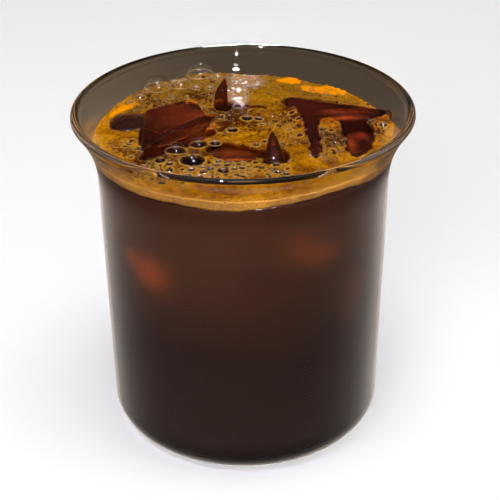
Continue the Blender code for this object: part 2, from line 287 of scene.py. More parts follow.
top_reach = float(inner_radius(DRINK_LEVEL))
wall_heights = [*np.linspace(UNDER_FOAM, NECK_HEIGHT, 8)]
wall_heights += [*np.linspace(NECK_HEIGHT, ABOVE_FLOOR, 40)[1:]]
profile = [(top_reach * i / SURFACE_RINGS, DRINK_LEVEL) for i in range(SURFACE_RINGS + 1)]
profile += [(float(inner_radius(z)) + INTO_WALL, z) for z in wall_heights]
profile += arc(floor_edge, corner_height, INNER_CORNER_RADIUS + INTO_WALL, 0, -90, 8)
profile.append((0.0, BASE - INTO_WALL))
coffee = lathe("coffee_drink", profile, ROUND_STEPS)
points = points_of(coffee)
around = np.arctan2(points[:, 0], points[:, 1])
reach = np.hypot(points[:, 0], points[:, 1])
surface = points[:, 2] > DRINK_LEVEL - WELD
from_wall = top_reach - reach
skirt = skirt_line(around)
level = skirt + (DRINK_LEVEL - skirt) * smoothstep(0.0, SKIRT_WIDTH, from_wall)
at_wall = surface & (from_wall < AT_WALL)
points[surface, 2] = level[surface]
wall_reach = inner_radius(points[:, 2]) + INTO_WALL
points[at_wall, 0:2] *= (wall_reach[at_wall] / reach[at_wall])[:, None]
move_points(coffee, points)

x, y, z = points.T / MM
# Painted light: the amber glows, on top and through the wall, are stored for the material to
# colour.
painted_glow = np.zeros(x.shape)
for glow_x, glow_y, half_x, half_y, strength in PAINTED_TOP_GLOWS:
    painted_glow += strength * bell(np.hypot((x - glow_x) / half_x, (y - glow_y) / half_y), 1.0)
painted_side_glow = np.zeros(x.shape)
for glow_x, glow_y, glow_z, half_width, half_height, strength in PAINTED_SIDE_GLOWS:
    along = np.hypot(x - glow_x, y - glow_y) / half_width
    painted_side_glow += strength * bell(np.hypot(along, (z - glow_z) / half_height), 1.0)
paint(coffee, "painted_glow", painted_glow * surface)
paint(coffee, "painted_side_glow", painted_side_glow * ~surface)
paint(coffee, "on_top", surface.astype(float))

# Black coffee, brewed and chilled: a dark liquid with a mirror of a surface. Through the wall a
# painted shading makes it red-brown and lit at the top and greyer towards the foot, clouded
# unevenly. From above it is nearly black.
black_coffee, tree, shader = new_material("chilled_black_coffee")
place = add_node(tree, "TexCoord").outputs["Object"]
height = add_node(tree, "SeparateXYZ", i0=place).outputs["Z"]
# Painted light and shade: the colour through the wall runs by height, lit red-brown at the top.
rise = add_node(tree, "MapRange", i0=height, From_Min=0.0, From_Max=LIT_TOP_HEIGHT)
cloud = add_node(tree, "TexNoise", Vector=place, Scale=1 / CLOUD_SIZE, Detail=2.0, Distortion=0.6)
rise = add_node(tree, "Math", MULTIPLY_ADD, i0=cloud.outputs["Fac"], i1=0.35, i2=rise.outputs[0])
tint = add_node(tree, "ValToRGB", i0=rise.outputs[0])
stops = tint.color_ramp.elements
stops[0].position, stops[0].color = 0.15, linear("302521")
stops[1].position, stops[1].color = 1.0, linear("3c2217")
stops.new(0.62).color = linear("281b18")
streaks = add_node(tree, "TexNoise", Vector=place, Scale=1 / STREAK_SIZE, Detail=3.0,
                   Distortion=1.5)
streaks = add_node(tree, "MapRange", i0=streaks.outputs["Fac"], From_Min=0.3, From_Max=0.7,
                   To_Min=0.45)
# Painted light: the amber glows on top, broken into streaks, become colour.
painted_top_glow = add_node(tree, "Attribute", {"attribute_name": "painted_glow"}).outputs["Fac"]
painted_top_glow = add_node(tree, "Math", {"operation": "MULTIPLY"}, i0=painted_top_glow, i1=streaks.outputs[0])
painted_top_glow_color = add_node(tree, "ValToRGB", i0=painted_top_glow.outputs[0])
stops = painted_top_glow_color.color_ramp.elements
stops[0].position, stops[0].color = 0.0, linear("240a05")
stops[1].position, stops[1].color = 0.75, linear("d07a14")
stops.new(0.3).color = linear("7a3414")
on_top = add_node(tree, "Attribute", {"attribute_name": "on_top"}).outputs["Fac"]
drink_color = add_node(tree, "Mix", COLOR_MIX, i0=on_top, i6=tint.outputs["Color"],
                       i7=painted_top_glow_color.outputs["Color"])
# Painted light: the amber glows seen through the wall are mixed into the colour.
painted_side_glows = add_node(tree, "Attribute", {"attribute_name": "painted_side_glow"}).outputs["Fac"]
painted_glow_color = add_node(tree, "Mix", COLOR_MIX, i0=painted_side_glows, i6=drink_color.outputs[2],
                   i7=linear("9a4418"))
tree.links.new(painted_glow_color.outputs[2], shader.inputs["Base Color"])
shader.inputs["Roughness"].default_value = 0.06
shader.inputs["IOR"].default_value = 1.33
finish(coffee, black_coffee, "coffee", "coffee")


# Foam: golden crema afloat on the coffee, a millimetre or two of fine bubbles that climb the wall
# in a heap at the back left. It is a turned disc whose points are then raised and sunk. Its sizes
# and places are in mm.
FOAM_LEVEL = 86.4
FOAM_EDGE = float(inner_radius(FOAM_LEVEL * MM)) / MM
HEAP_RISE = 1.4
HEAP_ANGLE = math.radians(-25.0)
HEAP_SPREAD = math.radians(25.0)
HEAP_REACH = 6.5
CLIMB_RISE = 1.2
CLIMB_REACH = 5.0
WALL_RISE = 0.4
WALL_REACH = 1.2
SUNK_LEVEL = 83.6
PIT_DEPTH = 1.2
RIM_RISE = 0.30
LUMP_RISE = 0.25
SKIRT_DEPTH = 2.0
DRAUGHT = 0.6
THINNEST = 0.15
AT_EDGE = 0.02
RING_STEP = 0.29
TURN_STEPS = 640
RIPPLE_WAVES = 9
# Unevenness of the top, and of the openings' outlines along x and y: size, wave length and seed.
SWELLS = ((0.20, 14, 1), (0.12, 4, 2), (0.06, 1.6, 7))
RAGGED_X = ((0.50, 3.8, 3), (0.12, 1.6, 4))
RAGGED_Y = ((0.50, 3.8, 5), (0.12, 1.6, 6))
# Where outlines are calmer, by the left ice: centre and radius, and how calm they are.
CALM_PLACES = ((-31.0, 9.0, 8.0), (-26.0, 4.0, 9.0))
CALMNESS = 0.85
# Wrinkles where the foam is pushed up behind the tip at the back.
WRINKLE_RISE = 0.16
WRINKLE_STEP = 1.7
# Foam on the right ice, a long hump and a round one by the wall: centre, radius and rise.
LONG_HUMP = (23.0, -1.0, 6.0, 1.3)
ROUND_HUMP = (36.5, 2.0, 4.5, 2.2)
# A slick streak at the back and a slick spot behind it: place and half width or radius.
SLICK_STREAK = (-1.2, 1.6)
SLICK_SPOT = (2.5, 36.5, 2.5)
# Sizes of the drifts of colour, swirls of stain and finest grain, and where olive sets in.
DRIFT_SIZE = 8.0
SWIRL_SIZE = 3.2
GRAIN_SIZE = 0.5
OLIVE_FROM = 10.0
OLIVE_TO = 32.0
# Drawn dots, for bubbles too small to model: size of their cells, and how few cells hold one.
DOTS = ((1.1, 0.45), (2.2, 0.62))
COLOR_MULTIPLY = {"data_type": "RGBA", "blend_type": "MULTIPLY"}
COLOR_SCREEN = {"data_type": "RGBA", "blend_type": "SCREEN"}

# Where the foam is open, as outlines in mm.
OPEN_PLACES = {
    "front": ((-9.8, -9.4), (-7.2, -5.6), (-3.6, -5.2), (0.6, -8.0), (5.4, -9.6), (8.0, -11.0),
              (4.6, -14.2), (-0.8, -17.6), (-5.6, -15.4)),
    "left": ((-36.6, 8.6), (-34.2, 13.8), (-30.0, 15.4), (-25.7, 13.4), (-27.0, 7.0), (-31.1, 2.6),
             (-34.4, 3.8)),
    "right": ((18.6, -16.8), (17.5, 1.5), (16.0, 16.0), (10.5, 21.5), (12.0, 25.0), (20.0, 24.0),
              (30.0, 18.5), (39.5, 12.2), (38.0, 7.4), (33.4, 5.0), (34.8, -6.4), (31.0, -14.0),
              (27.4, -13.5), (27.6, 2.5), (24.4, 9.0), (20.6, 7.8), (19.6, 2.4),
              (20.6, -10.2)),
    "ice_left": ((-26.0, -13.5), (-8.5, 4.0), (-13.0, 21.5), (-26.5, 17.5), (-28.0, 0.0)),
    "before_ice": ((-27.0, -17.0), (-17.0, -9.0), (-7.5, 0.0), (-8.0, 6.0), (-18.0, -2.0),
                   (-26.0, -10.0)),
    "tip_front": ((5.2, -15.0), (6.0, -18.4), (9.0, -19.0), (11.6, -17.0), (11.6, -11.0),
                  (8.4, -8.0)),
    "tip_back": ((-8.2, 21.0), (-7.2, 16.5), (-3.6, 16.0), (-3.2, 21.0), (-5.0, 23.0)),
    # Painted shade: an opening to the dark coffee, drawn where a fold in the foam casts a dark
    # streak.
    "fold_shadow": ((-3.0, 21.6), (3.6, 19.8), (7.0, 17.6), (2.6, 18.2), (-2.6, 19.6)),
    "slit": ((6.6, -21.0), (9.6, -22.8), (11.8, -26.0), (10.0, -25.2)),
}

# Where light comes through a thin edge of the coffee and turns it amber: painted light, drawn
# as amber colour on the foam.
PAINTED_AMBER_LIGHT_PLACES = {
    "left": ((-37.6, 10.4), (-35.2, 17.8), (-29.0, 22.6), (-29.4, 19.4), (-34.0, 15.4)),
    "back": ((9.6, 38.0), (16.6, 36.8), (16.4, 33.6), (9.6, 35.8)),
    "back_right": ((16.4, 34.0), (22.0, 32.2), (29.2, 29.2), (28.8, 25.0), (21.3, 27.5),
                   (16.8, 30.6)),
}

# Single bubbles that show as dark rounds in the foam: x, y and radius.
PITS = (
    (-31.4, -7.4, 0.6), (-30.5, -5.6, 0.9), (-29.7, -3.8, 0.7), (-29.4, -13.9, 0.8),
    (-27.9, -8.9, 1.0), (-21.6, -16.5, 1.5), (-19.0, -18.6, 1.1), (-17.8, -10.2, 2.7),
    (-11.8, -6.4, 2.4), (-7.4, -6.1, 1.6), (-13.1, -16.3, 3.3), (-13.3, -21.5, 1.2),
    (-21.5, -22.0, 0.9), (-8.4, -21.9, 1.2), (-5.1, -23.0, 1.6), (-2.2, -21.7, 0.9),
    (-0.3, -21.1, 0.9), (0.0, -26.2, 0.8), (-15.8, -21.6, 0.7), (-6.3, 12.0, 1.0),
    (1.1, 9.9, 1.6), (4.2, 9.8, 1.2), (5.1, 6.3, 0.8), (9.8, 5.1, 0.8), (12.2, 2.0, 0.8),
    (13.6, 13.5, 0.9), (15.4, 8.8, 0.8), (15.2, -1.8, 0.9), (3.5, -7.0, 0.9), (5.6, -4.9, 0.7),
    (1.7, -22.5, 0.8), (3.2, -17.7, 0.7), (5.0, -18.4, 0.6), (3.2, -20.8, 0.6), (0.6, -27.6, 0.6),
    (21.6, -0.2, 1.0), (23.7, -0.7, 0.7), (23.5, -11.7, 0.7), (34.8, 3.2, 1.1), (37.7, 0.9, 1.2),
    (-2.9, 2.7, 1.5),
)
# More of them crowd behind the front of the rim, in an oval: its centre and half sizes, their
# radii, their number and the gap between two.
FRONT_CENTRE = (-7.5, -22.5)
FRONT_HALF = (20.0, 6.8)
FRONT_RADIUS = (0.55, 1.20)
FRONT_PITS = 44
FRONT_GAP = 0.15

# Where small bubbles crowd: centre, radius in mm and share.
FIZZY_PLACES = (
    (-30.0, -6.0, 4.0, 0.9), (-20.0, -20.0, 6.0, 0.8), (-6.0, -22.0, 7.0, 0.7),
    (12.0, 8.0, 6.0, 0.9), (14.0, 0.0, 5.0, 0.8), (23.5, -3.0, 5.5, 1.0),
    (23.5, -13.0, 5.0, 0.6), (36.0, 1.0, 5.0, 0.8), (-22.0, 26.0, 7.0, 1.0),
    (-10.0, 33.0, 7.0, 1.0), (-30.0, 20.0, 6.0, 1.0), (3.0, -18.0, 5.0, 0.6),
    (-5.0, 14.0, 5.0, 0.5), (24.0, 31.0, 6.0, 0.8), (35.0, 18.0, 6.0, 0.5),
)
# Where coffee stains the foam in dark streaks: centre, radius in mm and share.
STAINED_PLACES = (
    (-4.0, 15.0, 6.0, 1.0), (-1.0, 9.0, 5.0, 0.7), (-6.0, 4.0, 4.0, 0.8), (15.0, 17.0, 5.0, 0.8),
    (-24.0, -12.0, 4.5, 0.7), (4.0, 3.0, 5.0, 0.45), (-12.0, -12.0, 6.0, 0.6),
    (13.0, 10.0, 4.0, 0.5), (-12.0, 26.0, 5.0, 0.7), (-23.0, 23.0, 6.0, 0.5),
    (-32.0, -9.0, 4.0, 0.5), (8.0, -6.0, 5.0, 0.3), (23.5, -4.0, 6.5, 1.0),
    (36.0, 1.0, 5.0, 0.7), (-26.0, -17.0, 5.5, 1.0), (-6.0, -21.0, 5.0, 0.45),
)


def rounded(outline, rounds=2):
    """An outline with its corners cut off, a few times over, so that it is smooth."""
    line = np.array(outline, dtype=float)
    for _ in range(rounds):
        ahead = np.roll(line, -1, axis=0)
        near = 0.75 * line + 0.25 * ahead
        far = 0.25 * line + 0.75 * ahead
        line = np.stack((near, far), axis=1).reshape(-1, 2)
    return line


def depth_inside(x, y, outlines, rounds=2):
    """Distance in mm from the nearest of some closed outlines, positive inside."""
    depth = np.full(x.shape, -9.0)
    for outline in outlines.values():
        line = rounded(outline, rounds)
        nearest = np.full(x.shape, 1e9)
        inside = np.zeros(x.shape, dtype=bool)
        for (x0, y0), (x1, y1) in zip(line, np.roll(line, -1, axis=0)):
            dx, dy = x1 - x0, y1 - y0
            along = np.clip(((x - x0) * dx + (y - y0) * dy) / (dx * dx + dy * dy), 0.0, 1.0)
            nearest = np.minimum(nearest, np.hypot(x - x0 - along * dx, y - y0 - along * dy))
            inside ^= ((y0 > y) != (y1 > y)) & (x < dx * (y - y0) / (dy + 1e-12) + x0)
        depth = np.maximum(depth, np.where(inside, nearest, -nearest))
    return depth


def ripples(x, y, length, seed):
    """Smooth unevenness from -1 to 1 with waves of about a length in mm."""
    draw = np.random.default_rng(seed)
    total = np.zeros(x.shape)
    for turn, size, start in zip(draw.uniform(0, 2 * math.pi, RIPPLE_WAVES),
                                 draw.uniform(0.7, 1.5, RIPPLE_WAVES),
                                 draw.uniform(0, 2 * math.pi, RIPPLE_WAVES)):
        along = x * math.cos(turn) + y * math.sin(turn)
        total += np.sin(2 * math.pi * along / (length * size) + start)
    return total / (RIPPLE_WAVES / 2)


def uneven(x, y, waves):
    """Several ripples together, each given by its size, wave length and seed."""
    return sum(size * ripples(x, y, length, seed) for size, length, seed in waves)


def crowd(x, y, places):
    """Share from 0 to 1 of something that crowds round a few places."""
    total = np.zeros(x.shape)
    for place_x, place_y, radius, share in places:
        total += share * bell(np.hypot(x - place_x, y - place_y), radius)
    return np.clip(total, 0.0, 1.0)


draw = np.random.default_rng(5)
pits = list(PITS)
while len(pits) < len(PITS) + FRONT_PITS:
    turn, out = draw.uniform(0, 2 * math.pi), draw.uniform() ** 0.7
    place_x = FRONT_CENTRE[0] + FRONT_HALF[0] * out * math.cos(turn)
    place_y = FRONT_CENTRE[1] + FRONT_HALF[1] * out * math.sin(turn)
    radius = draw.uniform(*FRONT_RADIUS)
    if all(math.hypot(place_x - a, place_y - b) > radius + other + FRONT_GAP
           for a, b, other in pits):
        pits.append((place_x, place_y, radius))


def foam_form(x, y):
    """The foam at places in mm: its top, the depth inside an opening and inside a bubble."""
    around = np.arctan2(x, y)
    from_wall = np.maximum(FOAM_EDGE - np.hypot(x, y), 0.0)
    heap = HEAP_RISE * bell(around - HEAP_ANGLE, HEAP_SPREAD) * bell(from_wall, HEAP_REACH)
    climb = CLIMB_RISE * lift(around) * bell(from_wall, CLIMB_REACH)
    climb = climb + WALL_RISE * bell(from_wall, WALL_REACH)
    swell = uneven(x, y, SWELLS)
    behind = smoothstep(15, 22, y) * smoothstep(-7, -2, x) * (1 - smoothstep(14, 20, x))
    folds = np.sin(2 * math.pi * (y + ripples(x, y, 9, 8)) / WRINKLE_STEP)
    wrinkles = WRINKLE_RISE * folds * behind
    hump_x, hump_y, radius, rise = LONG_HUMP
    over_ice = rise * bell(np.hypot(x - hump_x, (y - hump_y) / 2.0), radius) * smoothstep(-18, 0, y)
    hump_x, hump_y, radius, rise = ROUND_HUMP
    over_ice += rise * bell(np.hypot(x - hump_x, y - hump_y), radius)
    lumps = LUMP_RISE * crowd(x, y, FIZZY_PLACES) * ripples(x, y, 2.2, 9)
    top = FOAM_LEVEL + heap + climb + swell + wrinkles + over_ice + lumps
    calm = np.zeros(x.shape)
    for place_x, place_y, radius in CALM_PLACES:
        calm = np.maximum(calm, bell(np.hypot(x - place_x, y - place_y), radius))
    ragged = 1 - CALMNESS * calm
    ragged_x = x + ragged * uneven(x, y, RAGGED_X)
    ragged_y = y + ragged * uneven(x, y, RAGGED_Y)
    opening = depth_inside(ragged_x, ragged_y, OPEN_PLACES)
    pit = np.full(x.shape, -9.0)
    for pit_x, pit_y, radius in pits:
        pit = np.maximum(pit, radius - np.hypot(x - pit_x, y - pit_y))
    return top, opening, pit


ring_count = int(FOAM_EDGE / RING_STEP)
foot_level = FOAM_LEVEL - SKIRT_DEPTH
profile = [(FOAM_EDGE * MM * i / ring_count, FOAM_LEVEL * MM) for i in range(ring_count + 1)]
profile += [(FOAM_EDGE * MM, (FOAM_LEVEL - share * SKIRT_DEPTH) * MM)
            for share in (0.2, 0.4, 0.6, 0.8)]
profile += [(FOAM_EDGE * MM * share, foot_level * MM) for share in (1.0, 0.97, 0.93, 0.85, 0.0)]
foam = lathe("crema_foam", profile, TURN_STEPS)
points = points_of(foam) / MM
x, y = points[:, 0].copy(), points[:, 1].copy()
around = np.arctan2(x, y)
reach = np.hypot(x, y)
from_wall = np.maximum(FOAM_EDGE - reach, 0.0)
side = (points[:, 2] - foot_level) / SKIRT_DEPTH

# The top dips to the coffee in each opening and bubble, with a raised rim round both.
top, opening, pit = foam_form(x, y)
open_share = smoothstep(-0.8, 0.2, opening)
rim = np.maximum(bell(pit + 0.22, 0.24), 0.4 * bell(opening + 0.6, 0.3)) * (1 - open_share)
top = top + RIM_RISE * rim - PIT_DEPTH * smoothstep(-0.1, 0.45, pit)
top = top + (SUNK_LEVEL - top) * open_share
skirt = skirt_line(around) / MM
float_level = DRINK_LEVEL / MM - DRAUGHT
low = skirt + (float_level - skirt) * smoothstep(0.0, SKIRT_WIDTH / MM, from_wall)
low = np.minimum(low, top - THINNEST)
points[:, 2] = low + (top - low) * side
edge = from_wall < AT_EDGE
wall_reach = (inner_radius(points[:, 2] * MM) + INTO_WALL) / MM
points[edge, 0:2] *= (wall_reach[edge] / reach[edge])[:, None]
move_points(foam, points * MM)

# Painted light: the foam is made lighter at the wall and near it at the front.
painted_front_light = np.maximum(edge * (side < 0.99), 0.75 * bell(from_wall, 2.0) * (y < 0))
slick_line = bell(x - SLICK_STREAK[0], SLICK_STREAK[1]) * smoothstep(17, 20, y)
slick_spot = bell(np.hypot(x - SLICK_SPOT[0], y - SLICK_SPOT[1]), SLICK_SPOT[2])
paint(foam, "wet", np.maximum(smoothstep(-0.1, 0.2, pit), smoothstep(-0.9, 0.0, opening)))
# Painted light: amber where light comes through a thin edge of coffee.
paint(foam, "painted_amber_light", smoothstep(-0.15, 0.1, depth_inside(x, y, PAINTED_AMBER_LIGHT_PLACES, 1)))
paint(foam, "rim", rim)
paint(foam, "fizz", crowd(x, y, FIZZY_PLACES))
paint(foam, "stain", crowd(x, y, STAINED_PLACES))
paint(foam, "side", painted_front_light)
paint(foam, "slick", np.maximum(slick_line, slick_spot))

# Crema, a froth of fine bubbles beaten out of the coffee: soft and matt, golden with browner
# drifts, olive where it lies deep at the back and dark where coffee wets it. Amber is painted light
# where light comes through thin coffee, and painted light makes it lighter along the front wall.
# Its finest bubbles, a tenth of a millimetre in life, are drawn at half a millimetre to show.
crema, tree, shader = new_material("crema_foam")
place = add_node(tree, "TexCoord").outputs["Object"]
wet, rim_line, painted_amber_glow, fizz, stain, painted_side_light, slick = (
    add_node(tree, "Attribute", {"attribute_name": name}).outputs["Fac"]
    for name in ("wet", "rim", "painted_amber_light", "fizz", "stain", "side", "slick"))
drift = add_node(tree, "TexNoise", Vector=place, Scale=1 / (DRIFT_SIZE * MM), Detail=5.0,
                 Roughness=0.62, Distortion=0.8)
drift = add_node(tree, "MapRange", i0=drift.outputs["Fac"], From_Min=0.36, From_Max=0.62)
gold = add_node(tree, "Mix", COLOR_MIX, i0=drift.outputs[0], i6=linear("743e02"),
                i7=linear("b67a08"))
depth = add_node(tree, "SeparateXYZ", i0=place).outputs["Y"]
depth = add_node(tree, "MapRange", i0=depth, From_Min=OLIVE_FROM * MM, From_Max=OLIVE_TO * MM,
                 To_Max=0.75)
olive = add_node(tree, "Mix", COLOR_MIX, i0=depth.outputs[0], i6=gold.outputs[2],
                 i7=linear("7e5a12"))
swirl = add_node(tree, "TexNoise", Vector=place, Scale=1 / (SWIRL_SIZE * MM), Detail=6.0,
                 Roughness=0.6, Distortion=2.2)
stain_reach = add_node(tree, "Math", MULTIPLY_ADD, i0=stain, i1=0.30, i2=swirl.outputs["Fac"])
stain_line = add_node(tree, "MapRange", i0=stain_reach.outputs[0], From_Min=0.58, From_Max=0.70)
stained = add_node(tree, "Mix", COLOR_MIX, i0=stain_line.outputs[0], i6=olive.outputs[2],
                   i7=linear("481e04"))
grain = add_node(tree, "TexVoronoi", Vector=place, Scale=1 / (GRAIN_SIZE * MM))
fine = add_node(tree, "MapRange", i0=grain.outputs["Distance"], From_Min=0.1, From_Max=0.65)
fine_shade = add_node(tree, "Mix", COLOR_MIX, i0=fine.outputs[0], i6=linear("94703a"),
                      i7=linear("ffffff"))
grained = add_node(tree, "Mix", COLOR_MULTIPLY, i0=0.8, i6=stained.outputs[2],
                   i7=fine_shade.outputs[2])
ringed = add_node(tree, "Mix", COLOR_MIX, i0=rim_line, i6=grained.outputs[2], i7=linear("a47c30"))
dotted = ringed.outputs[2]
relief = fine.outputs[0]
for cell, sparse in DOTS:
    cells = add_node(tree, "TexVoronoi", Vector=place, Scale=1 / (cell * MM))
    luck = add_node(tree, "SeparateColor", i0=cells.outputs["Color"]).outputs["Red"]
    luck = add_node(tree, "Math", MULTIPLY_ADD, i0=fizz, i1=0.55, i2=luck)
    size = add_node(tree, "MapRange", i0=luck.outputs[0], From_Min=sparse, From_Max=1.3,
                    To_Min=0.0, To_Max=0.44)
    inside = add_node(tree, "Math", {"operation": "SUBTRACT"}, i0=size.outputs[0],
                      i1=cells.outputs["Distance"])
    dark = add_node(tree, "MapRange", i0=inside.outputs[0], From_Min=0.02, From_Max=0.08,
                    To_Max=0.95)
    ring = add_node(tree, "MapRange", i0=inside.outputs[0], From_Min=-0.12, From_Max=0.0,
                    To_Max=0.7)
    bright = add_node(tree, "Mix", COLOR_MIX, i0=ring.outputs[0], i6=dotted, i7=linear("96702a"))
    dotted = add_node(tree, "Mix", COLOR_MIX, i0=dark.outputs[0], i6=bright.outputs[2],
                      i7=linear("341504")).outputs[2]
    relief = add_node(tree, "Math", MULTIPLY_ADD, i0=dark.outputs[0], i1=-1.2, i2=relief).outputs[0]
wetted = add_node(tree, "ValToRGB", i0=wet)
stops = wetted.color_ramp.elements
stops[0].position, stops[0].color = 0.0, (1, 1, 1, 1)
stops[1].position, stops[1].color = 1.0, linear("0c0402")
stops.new(0.45).color = linear("93571c")
wet_color = add_node(tree, "Mix", COLOR_MULTIPLY, i0=1.0, i6=dotted,
                     i7=wetted.outputs["Color"])
# Painted light: a paler colour is screened over the foam along the front wall.
painted_light_band = add_node(tree, "Mix", COLOR_SCREEN, i0=painted_side_light, i6=wet_color.outputs[2],
                  i7=linear("6c5630"))
# Painted light: amber colour where light comes through thin coffee.
painted_glow_color = add_node(tree, "Mix", COLOR_MIX, i0=painted_amber_glow, i6=painted_light_band.outputs[2],
                   i7=linear("ca7a00"))
tree.links.new(painted_glow_color.outputs[2], shader.inputs["Base Color"])
calm = add_node(tree, "Math", {"operation": "MAXIMUM"}, i0=painted_amber_glow, i1=slick)
rough = add_node(tree, "MapRange", i0=calm.outputs[0], To_Min=0.9, To_Max=0.08)
bump = add_node(tree, "Bump", Height=relief, Distance=0.15 * MM, Strength=rough.outputs[0])
tree.links.new(bump.outputs[0], shader.inputs["Normal"])
gloss = add_node(tree, "MapRange", i0=slick, To_Min=0.45, To_Max=0.06)
tree.links.new(gloss.outputs[0], shader.inputs["Roughness"])
shine = add_node(tree, "MapRange", i0=slick, To_Min=0.0, To_Max=0.75)
tree.links.new(shine.outputs[0], shader.inputs["Specular IOR Level"])
finish(foam, crema, "crema", "crema")


# Bubbles: films of coffee blown up over the rounds in the foam and heaped at the back left, thin
# enough to see through. Each kind is modelled once with its wall, and copied to each place. Sizes
# and places are in mm.
DOME_FLATNESS = 0.85
SMALL_BUBBLES = 640
SMALL_RADIUS = (0.30, 0.80)
SMALL_WALL_GAP = 0.4
TRIES = 16000
STRAY_SHARE = 0.05
CLOSENESS = 0.9
SMALL_SINK = 0.15
# A round in the foam has a dome of its own from this radius up, sunk a little and lapping over.
DOME_FROM = 0.7
DOME_SINK = 0.1
DOME_LAP = 1.04
# A flat film over the opening at the left, and the large ones of the heap: x, y, height of the
# foot and radius.
LENS = (-31.2, 8.8, 86.2, 6.0)
LENS_FLATNESS = 0.14
FROTH = (
    (-12.2, 34.2, 89.9, 3.8), (-24.0, 27.2, 88.9, 3.8), (-17.8, 29.6, 88.6, 3.2),
    (-29.0, 23.4, 87.4, 1.7), (-19.6, 32.6, 88.2, 1.7), (-16.4, 34.6, 88.6, 1.2),
    (-7.2, 36.4, 88.0, 1.4), (-27.2, 27.2, 87.8, 1.2), (-9.4, 30.2, 87.2, 1.3),
    (-13.4, 29.6, 87.4, 1.2), (-31.4, 20.6, 87.2, 1.1), (-20.4, 24.2, 86.9, 1.2),
)
# Each kind at a radius of 1 mm: facets round and upwards, level of its cut foot and wall.
LARGE_DOME = (28, 16, -0.05, 0.03)
LARGE_BALL = (32, 20, -0.70, 0.05)
SMALL_DOME = (10, 6, -0.05, 0.02)
THREAD = 0.10


def film_bubble(name, segments, rings, cut, film):
    """A bubble with a radius of 1 mm, cut off level at its foot, with a wall of film."""
    bpy.ops.object.select_all(action="DESELECT")
    bpy.ops.mesh.primitive_uv_sphere_add(segments=segments, ring_count=rings, radius=MM,
                                         location=(0, 0, 0))
    piece = bpy.context.object
    piece.name = name
    bpy.ops.object.mode_set(mode="EDIT")
    bpy.ops.mesh.bisect(plane_co=(0, 0, cut * MM), plane_no=(0, 0, 1), clear_inner=True)
    bpy.ops.object.mode_set(mode="OBJECT")
    wall = piece.modifiers.new("wall", "SOLIDIFY")
    wall.thickness = film * MM
    wall.offset = -1.0
    bpy.ops.object.modifier_apply(modifier="wall")
    piece.data.shade_smooth()
    return piece


def joined(pieces, name):
    """Several pieces as one, under a name."""
    bpy.ops.object.select_all(action="DESELECT")
    for piece in pieces:
        piece.select_set(True)
    bpy.context.view_layer.objects.active = pieces[0]
    bpy.ops.object.join()
    bpy.context.object.name = name
    return bpy.context.object


draw = np.random.default_rng(11)
tries = draw.uniform(-FOAM_EDGE, FOAM_EDGE, (TRIES, 2))
sizes = SMALL_RADIUS[0] + (SMALL_RADIUS[1] - SMALL_RADIUS[0]) * draw.power(0.45, TRIES)
top, opening, pit = foam_form(tries[:, 0], tries[:, 1])
room = FOAM_EDGE - SMALL_WALL_GAP - np.hypot(tries[:, 0], tries[:, 1])
crowded = crowd(tries[:, 0], tries[:, 1], FIZZY_PLACES)
lucky = draw.uniform(0, 1, TRIES) < STRAY_SHARE + crowded
fits = (room > sizes) & (opening < -sizes) & (pit < -sizes) & lucky
places = [LENS] + list(FROTH)
for pit_x, pit_y, radius in pits:
    if radius > DOME_FROM:
        level = foam_form(np.array([pit_x]), np.array([pit_y]))[0][0]
        places.append((pit_x, pit_y, level - DOME_SINK, radius * DOME_LAP))
large_count = len(places)
for (px, py), radius, foot in zip(tries[fits], sizes[fits], top[fits]):
    if len(places) - large_count >= SMALL_BUBBLES:
        break
    if all(math.hypot(px - qx, py - qy) > CLOSENESS * (radius + other)
           for qx, qy, _, other in places):
        places.append((px, py, foot - SMALL_SINK * radius, radius))

copies = []
large_dome = film_bubble("large_dome", *LARGE_DOME)
large_ball = film_bubble("large_ball", *LARGE_BALL)
small_dome = film_bubble("small_dome", *SMALL_DOME)
for index, (px, py, foot, radius) in enumerate(places):
    pattern = large_dome if index < large_count else small_dome
    if 0 < index <= len(FROTH):
        pattern = large_ball
    flatness = LENS_FLATNESS if index == 0 else DOME_FLATNESS
    copy = bpy.data.objects.new("bubble", pattern.data.copy())
    copy.data.transform(Matrix.Translation((px * MM, py * MM, foot * MM))
                        @ Matrix.Diagonal((radius, radius, flatness * radius, 1.0)))
    bpy.context.scene.collection.objects.link(copy)
    copies.append(copy)
for pattern in (large_dome, large_ball, small_dome):
    bpy.data.objects.remove(pattern)
bubbles = joined(copies, "foam_bubbles")

# Film of coffee, a liquid skin less than half a micrometre thick, which has to be drawn thicker: it
# is clear, with a glint on its crown and faint purple and green sparkles.
film_of_coffee, tree, shader = new_material("film_of_coffee")
shader.inputs["Base Color"].default_value = linear("ffffff")
shader.inputs["Roughness"].default_value = 0.06
shader.inputs["IOR"].default_value = 1.45
shader.inputs["Transmission Weight"].default_value = 1.0
shader.inputs["Thin Film Thickness"].default_value = 420.0
shader.inputs["Thin Film IOR"].default_value = 1.45
bubbles.data.materials.clear()
bubbles.data.materials.append(film_of_coffee)
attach(bubbles, "root")
bubbles.visible_shadow = False
bubbles.visible_diffuse = False

# A thread of foam runs round the foot of each larger bubble.
threads = []
for px, py, foot, radius in places[1:large_count]:
    bpy.ops.mesh.primitive_torus_add(major_radius=radius * MM, minor_radius=THREAD * MM,
                                     major_segments=40, minor_segments=8,
                                     location=(px * MM, py * MM, foot * MM))
    threads.append(bpy.context.object)
foam_threads = joined(threads, "foam_threads")
bpy.ops.object.transform_apply(location=True)
foam_threads.data.shade_smooth()

# Dense foam, drained down between the bubbles: pale gold and moist, so it lines each foot.
dense_foam, tree, shader = new_material("dense_foam")
shader.inputs["Base Color"].default_value = linear("96702c")
shader.inputs["Roughness"].default_value = 0.3
foam_threads.data.materials.clear()
foam_threads.data.materials.append(dense_foam)
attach(foam_threads, "root")


